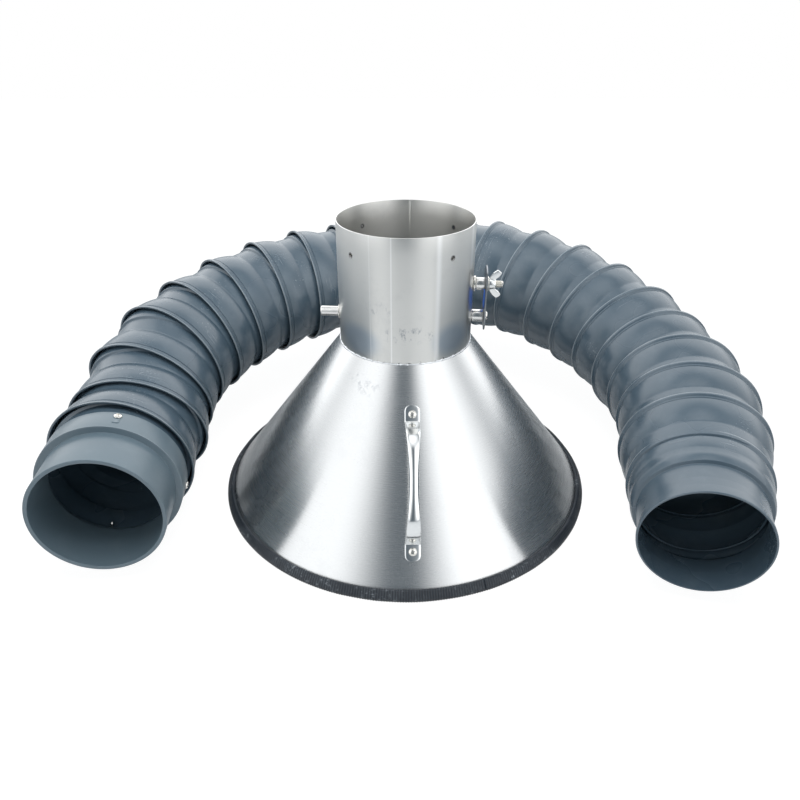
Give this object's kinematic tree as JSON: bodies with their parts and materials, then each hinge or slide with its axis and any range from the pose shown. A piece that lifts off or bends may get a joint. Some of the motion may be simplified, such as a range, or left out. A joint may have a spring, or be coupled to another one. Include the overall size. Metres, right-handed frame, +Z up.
{
  "type": "fume extraction arm",
  "caption": "Ball-jointed plastic ring arm lying in a bend with a duct connector, beside a loose sheet-steel cone hood with rubber rim trim, bow handle and hand damper.",
  "frame": {"origin": "middle of the base of the bounding box, on the floor", "axes": "+Z up, +X across the arm's bend towards the end with the bare neck and the hood's damper lever, +Y from the hood towards the closed side of the bend"},
  "size_m": [0.8856, 0.6918, 0.3571],
  "materials": {
    "sheet_steel": "brushed sheet",
    "bright_plating": "bright plated",
    "zinc": "zinc plated",
    "rubber": "matt black",
    "hose_plastic": "satin, scuffed",
    "connector_plastic": "satin",
    "blue_film": "glossy film"
  },
  "bodies": {
    "hood": {"collar": "sheet_steel", "cone": "sheet_steel", "rim_trim": "rubber", "handle": "bright_plating", "handle_screw_top": "bright_plating", "handle_screw_bottom": "bright_plating", "handle_nut_top": "zinc", "handle_nut_bottom": "zinc", "stud": "zinc", "stud_flange": "zinc", "stud_spacer": "zinc", "stud_nut": "zinc"},
    "damper": {"damper_shaft": "sheet_steel", "damper_disc": "sheet_steel", "disc_screw_1": "zinc", "disc_screw_2": "zinc", "shaft_washer": "zinc", "lever_spacer": "zinc", "lever_plate": "sheet_steel", "lever_screw": "zinc", "lever_film": "blue_film"},
    "clamp": {"clamp_washer": "zinc"},
    "wing_nut": {"wing_nut": "bright_plating"},
    "ring_01": {"ring_01": "hose_plastic"},
    "ring_02": {"ring_02": "hose_plastic"},
    "ring_03": {"ring_03": "hose_plastic"},
    "ring_04": {"ring_04": "hose_plastic"},
    "ring_05": {"ring_05": "hose_plastic"},
    "ring_06": {"ring_06": "hose_plastic"},
    "ring_07": {"ring_07": "hose_plastic"},
    "ring_08": {"ring_08": "hose_plastic"},
    "ring_09": {"ring_09": "hose_plastic"},
    "ring_10": {"ring_10": "hose_plastic"},
    "ring_11": {"ring_11": "hose_plastic"},
    "ring_12": {"ring_12": "hose_plastic"},
    "ring_13": {"ring_13": "hose_plastic"},
    "ring_14": {"ring_14": "hose_plastic"},
    "ring_15": {"ring_15": "hose_plastic"},
    "ring_16": {"ring_16": "hose_plastic"},
    "ring_17": {"ring_17": "hose_plastic"},
    "ring_18": {"ring_18": "hose_plastic"},
    "ring_19": {"ring_19": "hose_plastic"},
    "ring_20": {"ring_20": "hose_plastic"},
    "ring_21": {"ring_21": "hose_plastic"},
    "ring_22": {"ring_22": "hose_plastic"},
    "connector": {"ring_end": "hose_plastic", "connector": "connector_plastic", "band_screw_1": "zinc", "band_screw_2": "zinc", "band_screw_3": "zinc", "band_screw_4": "zinc"}
  },
  "joints": [
    {"name": "damper_turn", "type": "hinge", "parent": "hood", "child": "damper", "pos_m": [-0.01042, -0.08835, 0.24011], "axis": [0.9969, -0.0785, 0], "range_deg": [0, 90]},
    {"name": "clamp_slide", "type": "slide", "parent": "hood", "child": "clamp", "axis": [0.9969, -0.0785, 0], "range_m": [0, 0.005]},
    {"name": "wing_nut_turn", "type": "hinge", "parent": "clamp", "child": "wing_nut", "pos_m": [0.08927, -0.0962, 0.28071], "axis": [0.9969, -0.0785, 0], "range_deg": [0, 1440]},
    {"name": "arm_apart", "type": "slide", "parent": "hood", "child": "ring_11", "axis": [0, 1, 0], "range_m": [0, 0.2]},
    {"name": "bend_11", "type": "hinge", "parent": "ring_11", "child": "ring_12", "pos_m": [0.07538, 0.25492, 0.17064], "axis": [-0.0088, -0.0727, 0.9973], "range_deg": [-27.4, 0]},
    {"name": "bend_12", "type": "hinge", "parent": "ring_12", "child": "ring_13", "pos_m": [0.01107, 0.25817, 0.17031], "axis": [-0.0067, -0.0295, 0.9995], "range_deg": [-27.4, 0]},
    {"name": "bend_13", "type": "hinge", "parent": "ring_13", "child": "ring_14", "pos_m": [-0.05221, 0.24622, 0.16954], "axis": [-0.0134, 0.0063, 0.9999], "range_deg": [-24, 0]},
    {"name": "bend_14", "type": "hinge", "parent": "ring_14", "child": "ring_15", "pos_m": [-0.11237, 0.22324, 0.16887], "axis": [0.0041, -0.0395, 0.9992], "range_deg": [-19, 0]},
    {"name": "bend_15", "type": "hinge", "parent": "ring_15", "child": "ring_16", "pos_m": [-0.1702, 0.19492, 0.16799], "axis": [0.1953, -0.4263, 0.8833], "range_deg": [-21.8, 0]},
    {"name": "bend_16", "type": "hinge", "parent": "ring_16", "child": "ring_17", "pos_m": [-0.22392, 0.15976, 0.1629], "axis": [0.2083, -0.4444, 0.8713], "range_deg": [-22.6, 0]},
    {"name": "bend_17", "type": "hinge", "parent": "ring_17", "child": "ring_18", "pos_m": [-0.27195, 0.11801, 0.15309], "axis": [0.0019, -0.2309, 0.973], "range_deg": [-24.9, 0]},
    {"name": "bend_18", "type": "hinge", "parent": "ring_18", "child": "ring_19", "pos_m": [-0.31085, 0.06805, 0.14131], "axis": [-0.1034, -0.1512, 0.9831], "range_deg": [-25.8, 0]},
    {"name": "bend_19", "type": "hinge", "parent": "ring_19", "child": "ring_20", "pos_m": [-0.33831, 0.01098, 0.12964], "axis": [0.3671, -0.3527, 0.8607], "range_deg": [-27, 0]},
    {"name": "bend_20", "type": "hinge", "parent": "ring_20", "child": "ring_21", "pos_m": [-0.35293, -0.049, 0.1113], "axis": [-0.0828, -0.2729, 0.9585], "range_deg": [-26.2, 0]},
    {"name": "bend_21", "type": "hinge", "parent": "ring_21", "child": "ring_22", "pos_m": [-0.3538, -0.11091, 0.0936], "axis": [-0.9994, 0.0214, -0.0262], "range_deg": [-24.8, 0]},
    {"name": "bend_22", "type": "hinge", "parent": "ring_22", "child": "connector", "pos_m": [-0.35503, -0.17506, 0.08807], "axis": [-0.6866, -0.0493, 0.7253], "range_deg": [-17.6, 0]},
    {"name": "bend_10", "type": "hinge", "parent": "ring_11", "child": "ring_10", "pos_m": [0.13712, 0.23663, 0.16986], "axis": [-0.0374, -0.1686, 0.985], "range_deg": [0, 27.4]},
    {"name": "bend_09", "type": "hinge", "parent": "ring_10", "child": "ring_09", "pos_m": [0.19288, 0.20457, 0.16649], "axis": [-0.2066, -0.4507, 0.8684], "range_deg": [0, 23.8]},
    {"name": "bend_08", "type": "hinge", "parent": "ring_09", "child": "ring_08", "pos_m": [0.24266, 0.16468, 0.15764], "axis": [-0.2, -0.4435, 0.8737], "range_deg": [0, 21.6]},
    {"name": "bend_07", "type": "hinge", "parent": "ring_08", "child": "ring_07", "pos_m": [0.28673, 0.11952, 0.1448], "axis": [0.078, -0.2014, 0.9764], "range_deg": [0, 24.5]},
    {"name": "bend_06", "type": "hinge", "parent": "ring_07", "child": "ring_06", "pos_m": [0.32138, 0.06697, 0.13119], "axis": [0.0489, -0.22, 0.9743], "range_deg": [0, 26.2]},
    {"name": "bend_05", "type": "hinge", "parent": "ring_06", "child": "ring_05", "pos_m": [0.34357, 0.00825, 0.11681], "axis": [0.5071, -0.0194, 0.8617], "range_deg": [0, 25.6]},
    {"name": "bend_04", "type": "hinge", "parent": "ring_05", "child": "ring_04", "pos_m": [0.35489, -0.05464, 0.10874], "axis": [0.1907, -0.0911, 0.9774], "range_deg": [0, 27.4]},
    {"name": "bend_03", "type": "hinge", "parent": "ring_04", "child": "ring_03", "pos_m": [0.3513, -0.11872, 0.10346], "axis": [-0.2373, -0.0665, 0.9692], "range_deg": [0, 23.1]},
    {"name": "bend_02", "type": "hinge", "parent": "ring_03", "child": "ring_02", "pos_m": [0.33768, -0.1812, 0.09584], "axis": [-0.4635, -0.0071, 0.8861], "range_deg": [0, 15.4]},
    {"name": "bend_01", "type": "hinge", "parent": "ring_02", "child": "ring_01", "pos_m": [0.32256, -0.24323, 0.08743], "axis": [0.8673, -0.2682, 0.4192], "range_deg": [0, 12.8]}
  ]
}
